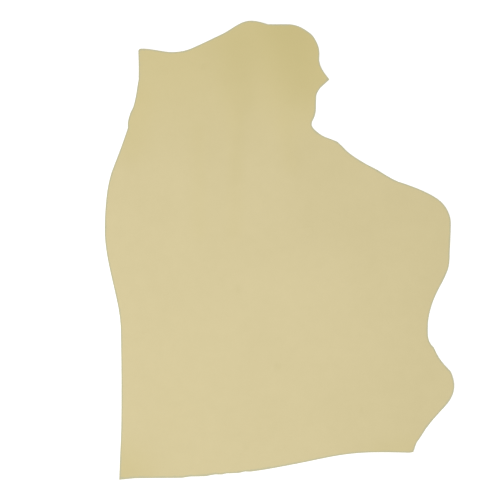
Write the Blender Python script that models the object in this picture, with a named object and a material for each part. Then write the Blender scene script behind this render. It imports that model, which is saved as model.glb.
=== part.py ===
"""Front quarter of a cattle hide, laid flat with its finished side up.

The hide is one sheet of leather and one solid. Its underside lies on z = 0, +Y
points to the neck and +X to the belly. The line of the back runs down the left
and the straight cut across the body is at the foot.

Lengths are millimetres and headings are degrees, anticlockwise from +X. The
origin is the middle of the sheet's box, on the surface that the sheet lies on.
"""

import math
from typing import NamedTuple

import bmesh
import bpy
from mathutils import Vector
from mathutils.geometry import delaunay_2d_cdt, interpolate_bezier
from mathutils.kdtree import KDTree

MM = 0.001
LENGTH = 1450.0
WIDTH = 1103.0
THICKNESS = 2.0

EDGE_STEP = 12.0
EDGE_TURN = 6.0
EDGE_LEAST = 3.0
GRID_STEP = 38.0
GRID_TO_EDGE = 18.0

LEATHER_COLOUR = (0.55, 0.47, 0.26, 1.0)
LEATHER_ROUGHNESS = 0.56

RIGHT = WIDTH / 2
LEFT = -WIDTH / 2
TOP = LENGTH / 2
FOOT = -LENGTH / 2


class Landmark(NamedTuple):
    """A place on the outline, with the headings at which the edge comes to it and goes on."""

    name: str
    x: float
    y: float
    arrive: float
    leave: float


class Swell(NamedTuple):
    """A low soft fold that runs along a straight line and dies away on both sides of it."""

    name: str
    from_x: float
    from_y: float
    to_x: float
    to_y: float
    half_width: float
    height: float


class Lift(NamedTuple):
    """A lobe or corner of the sheet that curls up a little towards a point at its edge."""

    name: str
    x: float
    y: float
    radius: float
    height: float


OUTLINE = (
    Landmark("back corner", -506, FOOT, 268, 6),
    Landmark("cut, start", -460, -720.5, 6, 1),
    Landmark("cut, end of first straight", -309, -719, 1, 6),
    Landmark("cut, first step", -281, -715, 8, 1),
    Landmark("cut, first flat", -234, -714, 2, 11),
    Landmark("cut, second step", -204, -708.5, 10, 359),
    Landmark("cut, second flat", -182, -708.5, 0, 8),
    Landmark("cut, third step", -166, -705, 6, 359),
    Landmark("cut, third flat", -128, -703.5, 2, 12),
    Landmark("cut, fourth step", -108, -699, 10, 0),
    Landmark("cut, fourth flat", -92, -699.5, 1, 7),
    Landmark("cut, steepest", 56, -674, 11, 11),
    Landmark("cut, turn", 191, -647.5, 9, 9),
    Landmark("cut, last straight", 279, -639, 2, 2),
    Landmark("cut, end", 390, -639, 359, 359),
    Landmark("belly corner", 423, -637, 20, 75),
    Landmark("belly nick", 433.5, -607, 67, 52),
    Landmark("belly slope", 461, -566, 57, 54),
    Landmark("belly waist", 510, -507, 47, 47),
    Landmark("belly shoulder", 536, -476, 56, 56),
    Landmark("belly tip", RIGHT, -428, 90, 90),
    Landmark("belly kink", 540.5, -382.5, 114, 136),
    Landmark("flank", 506.5, -343.5, 125, 125),
    Landmark("flank kink", 487, -306.5, 117, 138),
    Landmark("elbow top", 471, -281, 104, 104),
    Landmark("elbow", 468.5, -240, 89, 89),
    Landmark("elbow rise", 483, -167, 71, 71),
    Landmark("shank foot", 515, -99, 62, 62),
    Landmark("shank heel", 530, -66, 68, 68),
    Landmark("shank side", 538, 4, 87, 87),
    Landmark("shank tip", 540.5, 87, 90, 90),
    Landmark("shank crown", 525, 135, 122, 122),
    Landmark("shank top", 480, 174, 151, 151),
    Landmark("chest bend", 374, 217, 162, 157),
    Landmark("chest slope", 309, 254, 149, 152),
    Landmark("chest middle", 276, 271, 152, 150),
    Landmark("brisket", 213, 313, 139, 134),
    Landmark("brisket kink", 182, 343, 140, 157),
    Landmark("throat, low", 151, 355, 161, 161),
    Landmark("throat, turn", 120, 373, 140, 140),
    Landmark("throat hollow", 101.5, 398, 94, 86),
    Landmark("throat kink", 104, 409, 68, 64),
    Landmark("jaw, low", 111, 424, 71, 71),
    Landmark("jaw", 115, 449, 88, 88),
    Landmark("jaw rise", 116, 487, 84, 84),
    Landmark("cheek, under", 128.5, 512.5, 52, 44),
    Landmark("cheek point", 157.5, 539.5, 42, 130),
    Landmark("cheek, back", 135, 571, 120, 120),
    Landmark("cheek notch", 125.5, 598, 102, 92),
    Landmark("neck side", 126, 622, 90, 90),
    Landmark("neck shoulder", 108, 673.5, 124, 124),
    Landmark("neck round", 77, 699, 148, 148),
    Landmark("neck crown", 33, 713.5, 176, 178),
    Landmark("neck dip", -37, 714, 178, 163),
    Landmark("neck peak", -90, TOP, 180, 180),
    Landmark("neck fall", -125, 716, 207, 207),
    Landmark("neck slope", -175, 686, 210, 205),
    Landmark("nape slope", -280, 637, 203, 203),
    Landmark("nape dip", -343, 626, 180, 180),
    Landmark("nape rise", -389, 632, 172, 172),
    Landmark("neck corner, top", -438, 636.5, 182, 190),
    Landmark("neck corner, side", -445.5, 630, 262, 270),
    Landmark("nape side", -444.5, 576, 270, 270),
    Landmark("nape kink", -445, 538, 268, 259),
    Landmark("crest", -460, 459, 254, 254),
    Landmark("crest kink", -470.5, 435, 243, 254),
    Landmark("crest foot", -479, 402, 267, 267),
    Landmark("withers kink", -479, 386, 268, 252),
    Landmark("withers", -529, 250, 249, 252),
    Landmark("withers, out", -545, 177, 263, 263),
    Landmark("back, out", LEFT, 63, 270, 270),
    Landmark("back, in", -541, -33, 281, 281),
    Landmark("back slope", -513, -160, 282, 282),
    Landmark("back, low", -501, -255, 271, 271),
    Landmark("loin", -499, -426, 270, 270),
    Landmark("loin, low", -502, -619, 267, 267),
)

SWELLS = (
    Swell("crest fold", -285, 585, -270, 190, 75, 1.6),
    Swell("neck fold", -120, 640, -150, 250, 60, 2.2),
    Swell("throat fold", 20, 600, -20, 210, 70, 1.8),
    Swell("shoulder fold", 300, 110, 60, -60, 90, 1.4),
    Swell("flank fold", 400, -310, 200, -380, 80, 1.2),
)

LIFTS = (
    Lift("neck corner", -455, 650, 170, 2.5),
    Lift("neck crown", -30, 760, 190, 2.5),
    Lift("cheek", 175, 560, 130, 3.0),
    Lift("brisket", 195, 370, 110, 1.5),
    Lift("shank", 575, 110, 220, 3.5),
    Lift("elbow", 450, -246, 90, 1.2),
    Lift("belly", 580, -430, 200, 3.5),
    Lift("belly corner", 440, -650, 130, 2.0),
    Lift("back corner", -530, -745, 170, 2.5),
    Lift("back bulge", -575, 80, 160, 1.5),
)


def direction(heading):
    """The unit vector of a heading."""
    angle = math.radians(heading)
    return Vector((math.cos(angle), math.sin(angle)))


def stretch(start, end):
    """Points along the edge from one landmark up to, but not at, the next.

    The handles are those of a round arc that has the same chord and turn. No
    step is longer than EDGE_STEP, and none turns by much more than EDGE_TURN
    unless it would be shorter than EDGE_LEAST.
    """
    first = Vector((start.x, start.y))
    last = Vector((end.x, end.y))
    chord = (last - first).length
    turn = (end.arrive - start.leave + 180) % 360 - 180
    reach = chord / (3 * math.cos(math.radians(turn) / 4) ** 2)
    steps = math.ceil(max(chord / EDGE_STEP, min(abs(turn) / EDGE_TURN, chord / EDGE_LEAST)))
    handle_out = first + reach * direction(start.leave)
    handle_in = last - reach * direction(end.arrive)
    points = interpolate_bezier(first, handle_out, handle_in, last, steps + 1)
    return [point.to_2d() for point in points[:-1]]


def outline():
    """The whole edge of the sheet, anticlockwise."""
    edge = []
    for start, end in zip(OUTLINE, OUTLINE[1:] + OUTLINE[:1]):
        edge.extend(stretch(start, end))
    return edge


def grid(edge):
    """A staggered grid of points over the sheet's box that keeps off the edge."""
    tree = KDTree(len(edge))
    for index, point in enumerate(edge):
        tree.insert(point.to_3d(), index)
    tree.balance()
    row_step = GRID_STEP * math.sqrt(3) / 2
    rows = math.floor(LENGTH / row_step)
    columns = math.floor(WIDTH / GRID_STEP)
    points = []
    for row in range(rows + 1):
        shift = GRID_STEP / 2 * (row % 2)
        for column in range(columns + 1):
            point = Vector((LEFT + shift + column * GRID_STEP, FOOT + row * row_step))
            if tree.find(point.to_3d())[2] > GRID_TO_EDGE:
                points.append(point)
    return points


def fade(share):
    """A smooth fall from 1 at share 0 to 0 at share 1 and beyond."""
    return 0.5 + 0.5 * math.cos(math.pi * min(share, 1.0))


def swell_height(swell, point):
    """How far a fold raises the sheet at a point: full at its middle, nothing at its ends and sides."""
    start = Vector((swell.from_x, swell.from_y))
    run = Vector((swell.to_x, swell.to_y)) - start
    along = (point - start).dot(run) / run.length_squared
    across = abs((point - start).cross(run)) / run.length
    return swell.height * fade(abs(2 * along - 1)) * fade(across / swell.half_width)


def lift_height(lift, point):
    """How far a lobe curls up at a point: steepest at its tip, level at its radius."""
    away = (point - Vector((lift.x, lift.y))).length / lift.radius
    return lift.height * max(0.0, 1.0 - away) ** 2


def underside_height(point):
    """The underside's height over the surface that the sheet lies on."""
    folds = sum(swell_height(swell, point) for swell in SWELLS)
    return folds + sum(lift_height(lift, point) for lift in LIFTS)


def leather():
    """The finish of the smooth side."""
    material = bpy.data.materials.new("finished leather")
    material.use_nodes = True
    shader = material.node_tree.nodes["Principled BSDF"]
    shader.inputs["Base Color"].default_value = LEATHER_COLOUR
    shader.inputs["Roughness"].default_value = LEATHER_ROUGHNESS
    shader.inputs["Metallic"].default_value = 0.0
    return material


def make_hide():
    """The hide: its underside as one mesh, given its thickness upwards by a Solidify modifier."""
    edge = outline()
    border = [list(range(len(edge)))]
    inside_only = 1
    points, _, triangles, _, _, _ = delaunay_2d_cdt(edge + grid(edge), [], border, inside_only, 1e-6)

    bm = bmesh.new()
    corners = [bm.verts.new((x * MM, y * MM, underside_height(Vector((x, y))) * MM)) for x, y in points]
    for triangle in triangles:
        bm.faces.new([corners[index] for index in triangle])
    bmesh.ops.delete(bm, geom=[vert for vert in bm.verts if not vert.link_faces], context="VERTS")
    mesh = bpy.data.meshes.new("hide")
    bm.to_mesh(mesh)
    bm.free()
    mesh.shade_smooth()

    hide = bpy.data.objects.new("hide", mesh)
    bpy.context.scene.collection.objects.link(hide)
    solidify = hide.modifiers.new("thickness", "SOLIDIFY")
    solidify.thickness = THICKNESS * MM
    solidify.offset = 1.0
    mesh.materials.append(leather())
    return hide


for old in list(bpy.data.objects):
    bpy.data.objects.remove(old)
make_hide()
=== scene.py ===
"""Dresses the front quarter of a cattle hide and lights it for a straight look down.

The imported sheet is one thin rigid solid. Here a finer sheet takes its place: the
same outline and soft folds, with the low unevenness of real leather, a rounded
raw edge, a smooth grain side on top and a napped flesh side underneath.
"""

import logging
import math
from dataclasses import dataclass
from enum import Enum
from typing import Any

import bmesh
import bpy
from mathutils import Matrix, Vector, noise
from mathutils.bvhtree import BVHTree
from mathutils.kdtree import KDTree


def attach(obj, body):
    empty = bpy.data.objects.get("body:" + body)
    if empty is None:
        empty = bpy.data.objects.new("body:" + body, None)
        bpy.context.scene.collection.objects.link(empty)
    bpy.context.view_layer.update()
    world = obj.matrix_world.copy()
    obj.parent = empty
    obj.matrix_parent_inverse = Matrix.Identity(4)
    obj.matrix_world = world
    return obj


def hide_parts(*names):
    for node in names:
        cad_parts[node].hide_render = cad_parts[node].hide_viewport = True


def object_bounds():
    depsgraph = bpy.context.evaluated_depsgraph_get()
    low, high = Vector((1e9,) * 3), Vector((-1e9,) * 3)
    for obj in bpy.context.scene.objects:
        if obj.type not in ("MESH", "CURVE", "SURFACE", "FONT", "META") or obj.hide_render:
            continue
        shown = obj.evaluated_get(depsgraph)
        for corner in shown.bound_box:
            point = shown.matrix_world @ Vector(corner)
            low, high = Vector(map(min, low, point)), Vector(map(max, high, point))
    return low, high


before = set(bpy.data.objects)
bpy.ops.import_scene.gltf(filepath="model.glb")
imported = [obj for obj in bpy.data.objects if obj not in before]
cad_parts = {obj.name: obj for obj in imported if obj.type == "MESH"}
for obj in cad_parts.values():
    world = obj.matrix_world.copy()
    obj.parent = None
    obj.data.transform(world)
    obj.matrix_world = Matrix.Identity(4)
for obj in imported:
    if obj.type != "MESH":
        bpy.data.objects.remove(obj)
cad_low, cad_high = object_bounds()

log = logging.getLogger("hide")

MM = 0.001
NODE = "hide"
RIM_ATTRIBUTE = "rim"
SHADE_ATTRIBUTE = "shade"
DYE_ATTRIBUTE = "dye"


def linear(code: str) -> tuple[float, float, float, float]:
    """Turns an sRGB hex colour into Blender's linear colour.

    Args:
        code: Six hex digits after a hash sign.

    Returns:
        Linear red, green and blue, and an alpha of 1.
    """
    parts = [int(code[start : start + 2], 16) / 255 for start in (1, 3, 5)]
    red, green, blue = (
        part / 12.92 if part <= 0.04045 else ((part + 0.055) / 1.055) ** 2.4 for part in parts
    )
    return (red, green, blue, 1.0)


def add_node(
    tree: bpy.types.NodeTree,
    kind: str,
    settings: dict[str, Any],
    inputs: dict[str | int, Any],
) -> bpy.types.Node:
    """Adds one node with its settings and links.

    Args:
        tree: The node tree that the node goes into.
        kind: The node's type without its ShaderNode prefix.
        settings: The node's own properties, by name.
        inputs: A value, or the socket that feeds it, for each input by name or number.

    Returns:
        The new node.
    """
    node = tree.nodes.new("ShaderNode" + kind)
    for name, value in settings.items():
        setattr(node, name, value)
    for key, value in inputs.items():
        if isinstance(value, bpy.types.NodeSocket):
            tree.links.new(value, node.inputs[key])
        else:
            node.inputs[key].default_value = value
    return node


def per_metre(size_mm: float) -> float:
    """The texture scale whose cells are about size_mm across."""
    return 1.0 / (size_mm * MM)


def shader_of(material: bpy.types.Material) -> bpy.types.Node:
    """The Principled shader of a new node material."""
    material.use_nodes = True
    return material.node_tree.nodes["Principled BSDF"]


class Side(Enum):
    """The surfaces of the cut sheet, each with the number of its material slot."""

    GRAIN = 0
    FLESH = 1
    CUT = 2


@dataclass(frozen=True)
class GrainFinish:
    """Smooth full-grain cattle leather, drum dyed a pale straw and lightly finished.

    It gives an even matt to satin surface of tight pebbled cells and hair pores
    that only just catch the light. Its colour drifts slowly over the hide and is
    warmer and more deeply dyed at the neck. Painted shade darkens it further at the
    neck and towards the belly side, along the neck folds, in the creases and pores
    of the grain, and in a duller, greyer band along the cut edge.
    """

    body: str = "#C5B88C"
    light: str = "#C8BB8F"
    # The colour of the painted shade, which the small dull spots take too.
    shaded: str = "#A49862"
    dyed: str = "#C2B47B"
    # The colour of the rim, a band of painted shade along the cut edge.
    rim: str = "#B3AF8D"
    # The colour of the painted shade in the creases and pores of the grain.
    crease: str = "#A29569"
    roughness: float = 0.56
    roughness_spread: float = 0.05
    ior: float = 1.45
    specular: float = 0.4

    # The colour drifts in broad clouds with a finer mottle in them. Between these two
    # values of their sum it goes from the body's colour to the light one.
    cloud_mm: float = 260.0
    cloud_weight: float = 1.5
    mottle_mm: float = 38.0
    drift_low: float = 0.8
    drift_high: float = 1.7

    # Real grain cells are about 0.6 mm across and pores 1 mm apart. Both are drawn
    # three times coarser, so that they show.
    cell_mm: float = 1.8
    pore_mm: float = 3.0
    cell_depth_mm: float = 0.06

    # A cell has its full height from cell_flank of its size inwards. Around a pore's
    # middle the floor and the lip lie at these shares of the way between pores.
    cell_flank: float = 0.14
    pore_floor: float = 0.06
    pore_lip: float = 0.16

    # How much painted shade, in the crease's colour, the creases between cells and the pores take.
    crease_shade_share: float = 0.1

    # A small noise makes the cells wander, frays the rim and varies the gloss. It
    # seldom leaves the span between its low and its high value.
    grain_mm: float = 5.0
    grain_low: float = 0.3
    grain_high: float = 0.7

    # The rim is a band of painted shade, duller and greyer along the cut edge. It is
    # solid over this share of its width and fades out at its full width. Its fray is how
    # many widths the noise's whole span would move that border.
    rim_solid: float = 0.45
    rim_fray: float = 1.4

    def build(self) -> bpy.types.Material:
        """Makes the material of the finished side.

        Returns:
            The material.
        """
        material = bpy.data.materials.new("smooth full-grain leather")
        shader = shader_of(material)
        tree = material.node_tree
        place = add_node(tree, "TexCoord", {}, {}).outputs["Object"]
        grain = add_node(
            tree,
            "TexNoise",
            {},
            {"Vector": place, "Scale": per_metre(self.grain_mm), "Detail": 5.0},
        )
        relief = self.relief(tree, place, grain.outputs["Color"])
        # Painted shade where the relief is low, in the creases between cells and in the pores.
        creases = add_node(
            tree,
            "MapRange",
            {},
            {"Value": relief, "To Min": self.crease_shade_share, "To Max": 0.0},
        )
        dye = add_node(tree, "Attribute", {"attribute_name": DYE_ATTRIBUTE}, {})
        shade = add_node(tree, "Attribute", {"attribute_name": SHADE_ATTRIBUTE}, {})
        colour = self.drifting_colour(tree, place)
        # Over the drifting colour go the deeper dye, the painted shade with the small dull spots, the
        # rim's painted shade along the cut edge and the painted shade in the grain's creases and pores.
        for amount, tint in (
            (dye.outputs["Fac"], self.dyed),
            (shade.outputs["Fac"], self.shaded),
            (self.rim_amount(tree, grain.outputs["Fac"]), self.rim),
            (creases.outputs["Result"], self.crease),
        ):
            tinted = add_node(
                tree,
                "Mix",
                {"data_type": "RGBA", "clamp_factor": True},
                {"Factor": amount, "A": colour, "B": linear(tint)},
            )
            colour = tinted.outputs["Result"]
        tree.links.new(colour, shader.inputs["Base Color"])

        bump = add_node(tree, "Bump", {}, {"Height": relief, "Distance": self.cell_depth_mm * MM})
        tree.links.new(bump.outputs["Normal"], shader.inputs["Normal"])
        satin = add_node(
            tree,
            "MapRange",
            {},
            {
                "Value": grain.outputs["Fac"],
                "From Min": self.grain_low,
                "From Max": self.grain_high,
                "To Min": self.roughness - self.roughness_spread,
                "To Max": self.roughness + self.roughness_spread,
            },
        )
        tree.links.new(satin.outputs["Result"], shader.inputs["Roughness"])
        shader.inputs["IOR"].default_value = self.ior
        shader.inputs["Specular IOR Level"].default_value = self.specular
        return material

    def drifting_colour(
        self, tree: bpy.types.NodeTree, place: bpy.types.NodeSocket
    ) -> bpy.types.NodeSocket:
        """Adds the leather's own colour, which drifts slowly over the hide.

        Args:
            tree: The material's node tree.
            place: The point's own coordinates.

        Returns:
            The socket with the colour.
        """
        clouds = add_node(
            tree,
            "TexNoise",
            {},
            {"Vector": place, "Scale": per_metre(self.cloud_mm), "Detail": 3.0},
        )
        mottle = add_node(
            tree,
            "TexNoise",
            {},
            {"Vector": place, "Scale": per_metre(self.mottle_mm), "Detail": 4.0},
        )
        drift = add_node(
            tree,
            "Math",
            {"operation": "MULTIPLY_ADD"},
            {0: clouds.outputs["Fac"], 1: self.cloud_weight, 2: mottle.outputs["Fac"]},
        )
        lightness = add_node(
            tree,
            "MapRange",
            {},
            {"Value": drift.outputs["Value"], "From Min": self.drift_low, "From Max": self.drift_high},
        )
        colour = add_node(
            tree,
            "Mix",
            {"data_type": "RGBA"},
            {"Factor": lightness.outputs["Result"], "A": linear(self.body), "B": linear(self.light)},
        )
        return colour.outputs["Result"]

    def relief(
        self, tree: bpy.types.NodeTree, place: bpy.types.NodeSocket, wander: bpy.types.NodeSocket
    ) -> bpy.types.NodeSocket:
        """Adds the height of the pebbled grain: 1 on a cell, 0 in the creases and pores.

        Args:
            tree: The material's node tree.
            place: The point's own coordinates.
            wander: A fine noise of three numbers, which makes the cells uneven.

        Returns:
            The socket with the height.
        """
        wandering = add_node(
            tree,
            "VectorMath",
            {"operation": "MULTIPLY_ADD"},
            {0: wander, 1: Vector((self.cell_mm, self.cell_mm, self.cell_mm)) * MM, 2: place},
        )
        cells = add_node(
            tree,
            "TexVoronoi",
            {"feature": "DISTANCE_TO_EDGE"},
            {"Vector": wandering.outputs["Vector"], "Scale": per_metre(self.cell_mm)},
        )
        pebbles = add_node(
            tree,
            "MapRange",
            {"interpolation_type": "SMOOTHSTEP"},
            {"Value": cells.outputs["Distance"], "From Max": self.cell_flank},
        )
        hairs = add_node(tree, "TexVoronoi", {}, {"Vector": place, "Scale": per_metre(self.pore_mm)})
        pores = add_node(
            tree,
            "MapRange",
            {},
            {"Value": hairs.outputs["Distance"], "From Min": self.pore_floor, "From Max": self.pore_lip},
        )
        height = add_node(
            tree,
            "Math",
            {"operation": "MULTIPLY"},
            {0: pebbles.outputs["Result"], 1: pores.outputs["Result"]},
        )
        return height.outputs["Value"]

    def rim_amount(
        self, tree: bpy.types.NodeTree, fray: bpy.types.NodeSocket
    ) -> bpy.types.NodeSocket:
        """Adds how much of the rim's painted shade shows: all of it at the cut edge, and frayed inwards.

        Args:
            tree: The material's node tree.
            fray: A fine noise that moves the rim's inner border to and fro.

        Returns:
            The socket with the rim's amount.
        """
        rim_widths = add_node(tree, "Attribute", {"attribute_name": RIM_ATTRIBUTE}, {})
        shift = add_node(
            tree,
            "Math",
            {"operation": "MULTIPLY_ADD"},
            {0: fray, 1: self.rim_fray, 2: -self.rim_fray / 2},
        )
        from_edge = add_node(
            tree,
            "Math",
            {"operation": "ADD"},
            {0: rim_widths.outputs["Fac"], 1: shift.outputs["Value"]},
        )
        amount = add_node(
            tree,
            "MapRange",
            {},
            {
                "Value": from_edge.outputs["Value"],
                "From Min": self.rim_solid,
                "To Min": 1.0,
                "To Max": 0.0,
            },
        )
        return amount.outputs["Result"]


@dataclass(frozen=True)
class FleshFinish:
    """The flesh side of the skin, shaved and buffed: a short soft nap, matt and a little greyer.

    A fine noise for the nap times a broad one for the shaving sets its colour: the
    shadow's up to shadow_level, and the nap's own from nap_level on.
    """

    nap: str = "#C6B892"
    shadow: str = "#B4A681"
    nap_mm: float = 4.0
    shave_mm: float = 45.0
    shadow_level: float = 0.12
    nap_level: float = 0.4
    nap_depth_mm: float = 0.25
    roughness: float = 0.95
    specular: float = 0.2
    sheen: float = 0.25
    sheen_roughness: float = 0.5

    def build(self) -> bpy.types.Material:
        """Makes the material of the underside.

        Returns:
            The material.
        """
        material = bpy.data.materials.new("buffed flesh side")
        shader = shader_of(material)
        tree = material.node_tree
        place = add_node(tree, "TexCoord", {}, {}).outputs["Object"]
        nap = add_node(
            tree,
            "TexNoise",
            {},
            {"Vector": place, "Scale": per_metre(self.nap_mm), "Detail": 8.0},
        )
        shave = add_node(
            tree,
            "TexNoise",
            {},
            {"Vector": place, "Scale": per_metre(self.shave_mm), "Detail": 3.0},
        )
        both = add_node(
            tree,
            "Math",
            {"operation": "MULTIPLY"},
            {0: nap.outputs["Fac"], 1: shave.outputs["Fac"]},
        )
        share = add_node(
            tree,
            "MapRange",
            {},
            {"Value": both.outputs["Value"], "From Min": self.shadow_level, "From Max": self.nap_level},
        )
        colour = add_node(
            tree,
            "Mix",
            {"data_type": "RGBA"},
            {"Factor": share.outputs["Result"], "A": linear(self.shadow), "B": linear(self.nap)},
        )
        bump = add_node(
            tree, "Bump", {}, {"Height": nap.outputs["Fac"], "Distance": self.nap_depth_mm * MM}
        )
        tree.links.new(colour.outputs["Result"], shader.inputs["Base Color"])
        tree.links.new(bump.outputs["Normal"], shader.inputs["Normal"])
        shader.inputs["Roughness"].default_value = self.roughness
        shader.inputs["Specular IOR Level"].default_value = self.specular
        shader.inputs["Sheen Weight"].default_value = self.sheen
        shader.inputs["Sheen Roughness"].default_value = self.sheen_roughness
        return material


@dataclass(frozen=True)
class CutFinish:
    """The raw edge that the knife leaves: bare packed fibre, matt, greyer than the dyed grain.

    One noise sets its colour and its bump: painted shade in the hollows, where the
    bump is low, up to hollow_level, and the fibre's own colour from fibre_level on.
    """

    fibre: str = "#ACA27E"
    # The colour of the painted shade in the hollows between the fibres.
    hollow_shade: str = "#8F8562"
    fibre_mm: float = 1.2
    hollow_level: float = 0.35
    fibre_level: float = 0.65
    fibre_depth_mm: float = 0.15
    roughness: float = 0.9

    def build(self) -> bpy.types.Material:
        """Makes the material of the cut edge.

        Returns:
            The material.
        """
        material = bpy.data.materials.new("raw cut edge")
        shader = shader_of(material)
        tree = material.node_tree
        place = add_node(tree, "TexCoord", {}, {}).outputs["Object"]
        fibre = add_node(
            tree,
            "TexNoise",
            {},
            {"Vector": place, "Scale": per_metre(self.fibre_mm), "Detail": 4.0},
        )
        share = add_node(
            tree,
            "MapRange",
            {},
            {"Value": fibre.outputs["Fac"], "From Min": self.hollow_level, "From Max": self.fibre_level},
        )
        colour = add_node(
            tree,
            "Mix",
            {"data_type": "RGBA"},
            {"Factor": share.outputs["Result"], "A": linear(self.hollow_shade), "B": linear(self.fibre)},
        )
        bump = add_node(
            tree, "Bump", {}, {"Height": fibre.outputs["Fac"], "Distance": self.fibre_depth_mm * MM}
        )
        tree.links.new(colour.outputs["Result"], shader.inputs["Base Color"])
        tree.links.new(bump.outputs["Normal"], shader.inputs["Normal"])
        shader.inputs["Roughness"].default_value = self.roughness
        return material


@dataclass(frozen=True)
class SoftMark:
    """A soft streak on the sheet between two places, in millimetres from the middle of its box.

    Its amount is full along the middle of the streak and fades to nothing at
    half_width on both sides and past both ends. A round spot starts and ends at
    nearly the same place.
    """

    name: str
    from_x: float
    from_y: float
    to_x: float
    to_y: float
    half_width: float
    amount: float

    def at(self, place: Vector) -> float:
        """How much of the mark there is at a place.

        Args:
            place: Millimetres to the belly side and to the neck side of the sheet's middle.

        Returns:
            The mark's amount there, nothing outside it.
        """
        start = Vector((self.from_x, self.from_y))
        run = Vector((self.to_x, self.to_y)) - start
        along = min(max((place - start).dot(run) / run.length_squared, 0.0), 1.0)
        away = (place - start - along * run).length / self.half_width
        return self.amount * (0.5 + 0.5 * math.cos(math.pi * min(away, 1.0)))


def along_outline(vert: bmesh.types.BMVert) -> list[bmesh.types.BMVert]:
    """The two neighbours of a point of the outline that are on the outline too."""
    return [edge.other_vert(vert) for edge in vert.link_edges if edge.is_boundary]


@dataclass(frozen=True)
class Hide:
    """The one sheet of leather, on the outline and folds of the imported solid."""

    thickness: float = 2.0 * MM
    flat_area_m2: float = 1.209

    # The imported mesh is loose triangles, whose equal corners are merged. A face is part
    # of the underside where the height of its normal is below downward.
    merge_distance: float = 0.01 * MM
    downward: float = -0.5

    # The outline's runs are halved this often, and stay sharp at turns over corner_turn.
    # The curve bulges past a run's middle by bulge_share of the bends at its ends.
    halvings: int = 2
    corner_turn: float = math.radians(12.0)
    bulge_share: float = 1 / 8

    # Inside a narrow band along the outline the sheet is cut into squares. A cut that
    # passes within snap of a point goes through it.
    band_width: float = 1.5 * MM
    square: float = 10.0 * MM
    snap: float = 0.8 * MM

    edge_round: float = 0.4 * MM
    round_segments: int = 2
    round_from: float = math.radians(50.0)

    # The folds are rounded in this many passes, and the sheet is a little uneven.
    ease_passes: int = 14
    lump_size: float = 140.0 * MM
    lump_height: float = 0.35 * MM

    # The rim of painted shade along the edge is uneven in width from patch to patch.
    # From foot_top down it widens, over foot_blend, to foot_rim_width. A point's distance
    # to the edge is measured to this many samples on each run.
    rim_width: float = 5.5 * MM
    foot_rim_width: float = 7.5 * MM
    foot_top: float = -640.0 * MM
    foot_blend: float = 80.0 * MM
    rim_patch_size: float = 45.0 * MM
    rim_unevenness: float = 0.3
    rim_samples: int = 3

    # Each mark has its name, where it starts in x and y, where it ends in x and y, its
    # half width and its amount. These are low ridges, with their heights as amounts.
    creases: tuple[SoftMark, ...] = (
        SoftMark("neck wrinkle, left", -205, 560, -225, 300, 26, 0.30),
        SoftMark("neck wrinkle, middle", -70, 610, -60, 270, 24, 0.35),
        SoftMark("neck wrinkle, right", 40, 560, 15, 330, 22, 0.25),
    )

    # Mostly painted shade: darker where the light falls off towards the neck and the
    # belly side, and along the neck folds. The six spots at the end are small dull
    # marks of the leather itself. Each takes this much of the shaded colour.
    shades_and_spots: tuple[SoftMark, ...] = (
        SoftMark("poll", 30, 730, 75, 530, 140, 0.13),
        SoftMark("neck crown", -190, 700, 60, 715, 210, 0.06),
        SoftMark("nape", -190, 650, -165, 560, 90, 0.03),
        SoftMark("neck fold, broad", -112, 640, -112, 480, 85, 0.065),
        SoftMark("neck fold, narrow", -116, 430, -134, 240, 42, 0.055),
        SoftMark("neck, beside the fold", -78, 380, -76, 340, 60, 0.035),
        SoftMark("neck, middle", -200, 320, -205, 60, 130, 0.04),
        SoftMark("crest", -440, 165, -380, 130, 90, 0.04),
        SoftMark("mane edge", -460, 340, -470, 290, 80, 0.05),
        SoftMark("throat", 55, 300, 90, 110, 110, 0.06),
        SoftMark("shoulder", 170, 230, 190, 60, 130, 0.04),
        SoftMark("shoulder, low", -100, 20, 60, -30, 110, 0.03),
        SoftMark("behind the shank", 250, 70, 300, -160, 130, 0.035),
        SoftMark("brisket", 120, 330, 330, 160, 150, 0.05),
        SoftMark("shank", 520, 100, 480, 0, 310, 0.10),
        SoftMark("flank", 480, -330, 430, -560, 310, 0.075),
        SoftMark("loin", -360, -470, -330, -660, 150, 0.03),
        SoftMark("belly", -30, -530, 220, -520, 110, 0.03),
        SoftMark("belly corner", 200, -640, 400, -640, 90, 0.05),
        SoftMark("back corner", -520, -720, -500, -725, 200, 0.11),
        SoftMark("neck spot", -242, 580, -240, 582, 14, 0.07),
        SoftMark("shoulder spot", -134, -120, -130, -126, 16, 0.08),
        SoftMark("chest spot", 83, 73, 85, 73, 11, 0.08),
        SoftMark("rib spot", -8, -365, -3, -367, 18, 0.10),
        SoftMark("flank spot", 259, -508, 261, -508, 9, 0.10),
        SoftMark("foot spot", -106, -620, -103, -622, 11, 0.10),
    )

    # Places that took more dye, by how much of the dyed colour they have.
    dyes: tuple[SoftMark, ...] = (
        SoftMark("neck", -350, 740, 120, 740, 560, 0.50),
        SoftMark("poll", 30, 700, 90, 540, 230, 0.34),
        SoftMark("neck fold", -150, 650, -130, 480, 90, 0.14),
        SoftMark("mane edge", -450, 470, -470, 330, 90, 0.20),
        SoftMark("nape streak", -258, 380, -254, 60, 44, 0.10),
        SoftMark("neck streak", -138, 420, -142, 60, 46, 0.10),
        SoftMark("throat streak", 15, 400, 40, 270, 50, 0.12),
        SoftMark("belly corner", 330, -650, 420, -640, 90, 0.16),
        SoftMark("back corner", -520, -720, -500, -725, 170, 0.38),
    )

    def lower_skin(self) -> bmesh.types.BMesh:
        """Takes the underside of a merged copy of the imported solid, turned to face up.

        Returns:
            The underside as an open sheet.
        """
        bm = bmesh.new()
        bm.from_mesh(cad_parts[NODE].data)
        bmesh.ops.remove_doubles(bm, verts=bm.verts, dist=self.merge_distance)
        bm.normal_update()
        others = [face for face in bm.faces if face.normal.z > self.downward]
        bmesh.ops.delete(bm, geom=others, context="FACES")
        bmesh.ops.reverse_faces(bm, faces=bm.faces)
        return bm

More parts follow.
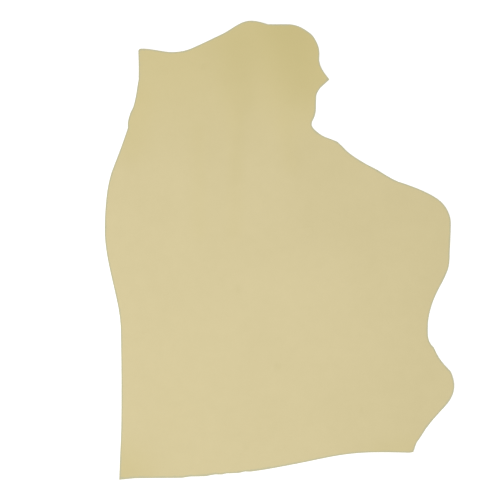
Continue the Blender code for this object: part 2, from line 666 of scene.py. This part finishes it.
    def round_outline(self, bm: bmesh.types.BMesh) -> None:
        """Halves each run of the outline and sets its middle on a smooth curve, except at corners.

        The bend at an end of a run is how far it stands out from between its neighbours.

        Args:
            bm: The sheet as one face, which is changed.
        """
        new = bmesh.ops.subdivide_edges(bm, edges=bm.edges, cuts=1)["geom_inner"]
        middles = {item: item.co.copy() for item in new if isinstance(item, bmesh.types.BMVert)}
        for middle, centre in middles.items():
            bends = []
            for end in along_outline(middle):
                beyond = next(vert for vert in along_outline(end) if vert is not middle)
                arriving, leaving = end.co - middles[beyond], centre - end.co
                if arriving.angle(leaving) < self.corner_turn:
                    bends.append(arriving - leaving)
            if len(bends) == 2:
                middle.co = centre + (bends[0] + bends[1]) * self.bulge_share

    def cut_into_squares(self, bm: bmesh.types.BMesh) -> None:
        """Cuts the sheet along evenly spaced straight lines both ways, all but a band at its outline.

        The band keeps the cuts off the outline, where the edge is rounded later.

        Args:
            bm: The sheet as one face, which is changed.
        """
        inset = bmesh.ops.inset_region(
            bm, faces=bm.faces, use_boundary=True, use_even_offset=True, thickness=self.band_width
        )
        band = set(inset["faces"])
        for along, low, high in (("y", cad_low.y, cad_high.y), ("x", cad_low.x, cad_high.x)):
            normal = Vector((along == "x", along == "y", 0.0))
            for number in range(1, math.ceil((high - low) / self.square)):
                faces = [face for face in bm.faces if face not in band]
                edges = dict.fromkeys(edge for face in faces for edge in face.edges)
                verts = dict.fromkeys(vert for edge in edges for vert in edge.verts)
                bmesh.ops.bisect_plane(
                    bm,
                    geom=[*verts, *edges, *faces],
                    dist=self.snap,
                    plane_co=normal * (low + number * self.square),
                    plane_no=normal,
                )

    def sheet_mesh(self) -> bmesh.types.BMesh:
        """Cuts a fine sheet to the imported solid's outline and lays it on the solid's underside.

        Returns:
            The sheet before its thickness.
        """
        skin = self.lower_skin()
        underside = BVHTree.FromBMesh(skin)
        bmesh.ops.dissolve_faces(skin, faces=skin.faces)
        for _ in range(self.halvings):
            self.round_outline(skin)
        self.cut_into_squares(skin)
        for vert in skin.verts:
            vert.co.z = underside.find_nearest(vert.co)[0].z
        return skin

    def ease(self, bm: bmesh.types.BMesh) -> None:
        """Rounds the folds, which the solid has in flat facets, and adds unevenness and wrinkles.

        Args:
            bm: The open sheet, which is changed.
        """
        inside = [vert for vert in bm.verts if not vert.is_boundary]
        for _ in range(self.ease_passes):
            bmesh.ops.smooth_vert(bm, verts=inside, factor=0.5, use_axis_z=True)
        for vert in bm.verts:
            lumps = 0.5 + 0.5 * noise.noise(vert.co / self.lump_size)
            creases = sum(crease.at(vert.co.xy / MM) for crease in self.creases)
            vert.co.z += self.lump_height * lumps + creases * MM

    def rim_width_at(self, place: Vector) -> float:
        """How wide the rim of painted shade is near a place: uneven, and widest along the cut at the
        foot.

        Args:
            place: A point of the sheet, in metres.

        Returns:
            The rim's width in metres.
        """
        share = min(max((self.foot_top - place.y) / self.foot_blend, 0.0), 1.0)
        width = self.rim_width + share * (self.foot_rim_width - self.rim_width)
        return width * (1.0 + self.rim_unevenness * noise.noise(place / self.rim_patch_size))

    def mark_rim(self, bm: bmesh.types.BMesh) -> None:
        """Writes at each point how many rim widths it lies from the edge.

        Args:
            bm: The open sheet, which gets the attribute.
        """
        outline = [edge for edge in bm.edges if edge.is_boundary]
        tree = KDTree(self.rim_samples * len(outline))
        for index, edge in enumerate(outline):
            start, end = (vert.co for vert in edge.verts)
            for part in range(self.rim_samples):
                place = start.lerp(end, part / self.rim_samples)
                tree.insert(place, self.rim_samples * index + part)
        tree.balance()
        layer = bm.verts.layers.float.new(RIM_ATTRIBUTE)
        for vert in bm.verts:
            distance = 0.0 if vert.is_boundary else tree.find(vert.co)[2]
            vert[layer] = distance / self.rim_width_at(vert.co)

    def mark_tints(self, bm: bmesh.types.BMesh) -> None:
        """Writes at each point how much painted shade, with the small dull spots, and how much deeper
        dye it has.

        Args:
            bm: The open sheet, which gets the two attributes.
        """
        for attribute, marks in ((SHADE_ATTRIBUTE, self.shades_and_spots), (DYE_ATTRIBUTE, self.dyes)):
            layer = bm.verts.layers.float.new(attribute)
            for vert in bm.verts:
                vert[layer] = sum(mark.at(vert.co.xy / MM) for mark in marks)

    def build(self) -> bpy.types.Object:
        """Makes the dressed sheet.

        Returns:
            The sheet's object, with its thickness and rounded edge as modifiers.
        """
        bm = self.sheet_mesh()
        self.ease(bm)
        self.mark_rim(bm)
        self.mark_tints(bm)
        mesh = bpy.data.meshes.new("leather_sheet")
        bm.to_mesh(mesh)
        bm.free()
        mesh.shade_smooth()
        finishes = {Side.GRAIN: GrainFinish(), Side.FLESH: FleshFinish(), Side.CUT: CutFinish()}
        for side in Side:
            mesh.materials.append(finishes[side].build())

        sheet = bpy.data.objects.new("leather_sheet", mesh)
        bpy.context.scene.collection.objects.link(sheet)
        solidify = sheet.modifiers.new("thickness", "SOLIDIFY")
        solidify.thickness = self.thickness
        solidify.offset = 1.0
        solidify.material_offset = Side.FLESH.value
        solidify.material_offset_rim = Side.CUT.value
        bevel = sheet.modifiers.new("worn edge", "BEVEL")
        bevel.width = self.edge_round
        bevel.segments = self.round_segments
        bevel.limit_method = "ANGLE"
        bevel.angle_limit = self.round_from
        bevel.harden_normals = True
        return sheet


@dataclass(frozen=True)
class Softbox:
    """A large soft square light, in metres and watts."""

    name: str
    place: tuple[float, float, float]
    aim: tuple[float, float, float]
    side: float
    power: float

    def build(self) -> bpy.types.Object:
        """Makes the light.

        Returns:
            The light's object.
        """
        light = bpy.data.lights.new(self.name, "AREA")
        light.shape = "SQUARE"
        light.size = self.side
        light.energy = self.power
        lamp = bpy.data.objects.new(self.name, light)
        lamp.location = self.place
        lamp.rotation_euler = (Vector(self.aim) - Vector(self.place)).to_track_quat("-Z", "Y").to_euler()
        bpy.context.scene.collection.objects.link(lamp)
        return lamp


@dataclass(frozen=True)
class Studio:
    """A pale floor that glows softly, as a light table does, under a white sky and two softboxes."""

    floor_half: float = 60.0
    floor_drop: float = 0.2 * MM
    floor_colour: str = "#F8F8F7"
    floor_roughness: float = 0.95
    floor_glow: float = 0.14
    sky: float = 0.88
    white: str = "#FFFFFF"
    overhead: Softbox = Softbox("overhead_softbox", (-0.45, -0.5, 3.6), (-0.45, -0.5, 0.0), 1.8, 34.0)
    side: Softbox = Softbox("side_softbox", (-3.4, -2.2, 2.6), (-0.1, 0.0, 0.0), 2.4, 32.0)

    def floor(self) -> bpy.types.Object:
        """Makes the floor, a hair below the sheet.

        Returns:
            The floor's object.
        """
        bm = bmesh.new()
        bmesh.ops.create_grid(bm, x_segments=1, y_segments=1, size=self.floor_half)
        bmesh.ops.translate(bm, verts=bm.verts, vec=(0.0, 0.0, -self.floor_drop))
        mesh = bpy.data.meshes.new("studio_floor")
        bm.to_mesh(mesh)
        bm.free()
        floor = bpy.data.objects.new("studio_floor", mesh)
        bpy.context.scene.collection.objects.link(floor)
        acrylic = bpy.data.materials.new("frosted white acrylic")
        shader = shader_of(acrylic)
        shader.inputs["Base Color"].default_value = linear(self.floor_colour)
        shader.inputs["Roughness"].default_value = self.floor_roughness
        shader.inputs["Emission Color"].default_value = linear(self.white)
        shader.inputs["Emission Strength"].default_value = self.floor_glow
        mesh.materials.append(acrylic)
        return floor

    def build(self) -> None:
        """Makes the floor, the sky and the lights."""
        self.floor()
        world = bpy.data.worlds.new("studio_sky")
        world.use_nodes = True
        background = world.node_tree.nodes["Background"]
        background.inputs["Strength"].default_value = self.sky
        background.inputs["Color"].default_value = linear(self.white)
        bpy.context.scene.world = world
        self.overhead.build()
        self.side.build()


@dataclass(frozen=True)
class OverheadCamera:
    """A camera straight above the sheet, with the photograph's framing in its own pixels."""

    frame_px: float = 500.0
    sheet_length_px: float = 459.0
    sheet_middle_px: tuple[float, float] = (279.46, 250.26)
    lens_mm: float = 70.0
    sensor_mm: float = 36.0

    def build(self) -> bpy.types.Object:
        """Makes the camera and sets it as the scene's.

        Returns:
            The camera's object.
        """
        middle = (cad_low + cad_high) / 2
        metres_per_px = (cad_high.y - cad_low.y) / self.sheet_length_px
        half_frame_px = self.frame_px / 2
        height = half_frame_px * metres_per_px * self.lens_mm / (self.sensor_mm / 2)
        data = bpy.data.cameras.new("overhead_camera")
        data.lens = self.lens_mm
        data.sensor_width = self.sensor_mm
        camera = bpy.data.objects.new("overhead_camera", data)
        camera.location = (
            middle.x + (half_frame_px - self.sheet_middle_px[0]) * metres_per_px,
            middle.y - (half_frame_px - self.sheet_middle_px[1]) * metres_per_px,
            middle.z + height,
        )
        bpy.context.scene.collection.objects.link(camera)
        bpy.context.scene.camera = camera
        return camera


def colour_management() -> None:
    """Shows colours as they are, with no film curve over them."""
    view = bpy.context.scene.view_settings
    view.view_transform = "Standard"
    view.look = "None"
    view.exposure = 0.0
    view.gamma = 1.0


def main() -> None:
    """Builds the camera, the sheet and the studio in turn, and says what the sheet stands for."""
    logging.basicConfig(level=logging.INFO, format="%(name)s: %(message)s")
    colour_management()
    camera = OverheadCamera().build()
    log.info("%s stands %.2f m above the floor", camera.name, camera.location.z)
    hide = Hide()
    sheet = hide.build()
    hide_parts(NODE)
    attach(sheet, "root")
    points = len(sheet.data.vertices)
    log.info("%s replaces %s, %d points before its thickness", sheet.name, NODE, points)
    Studio().build()


if __name__ == "__main__":
    main()
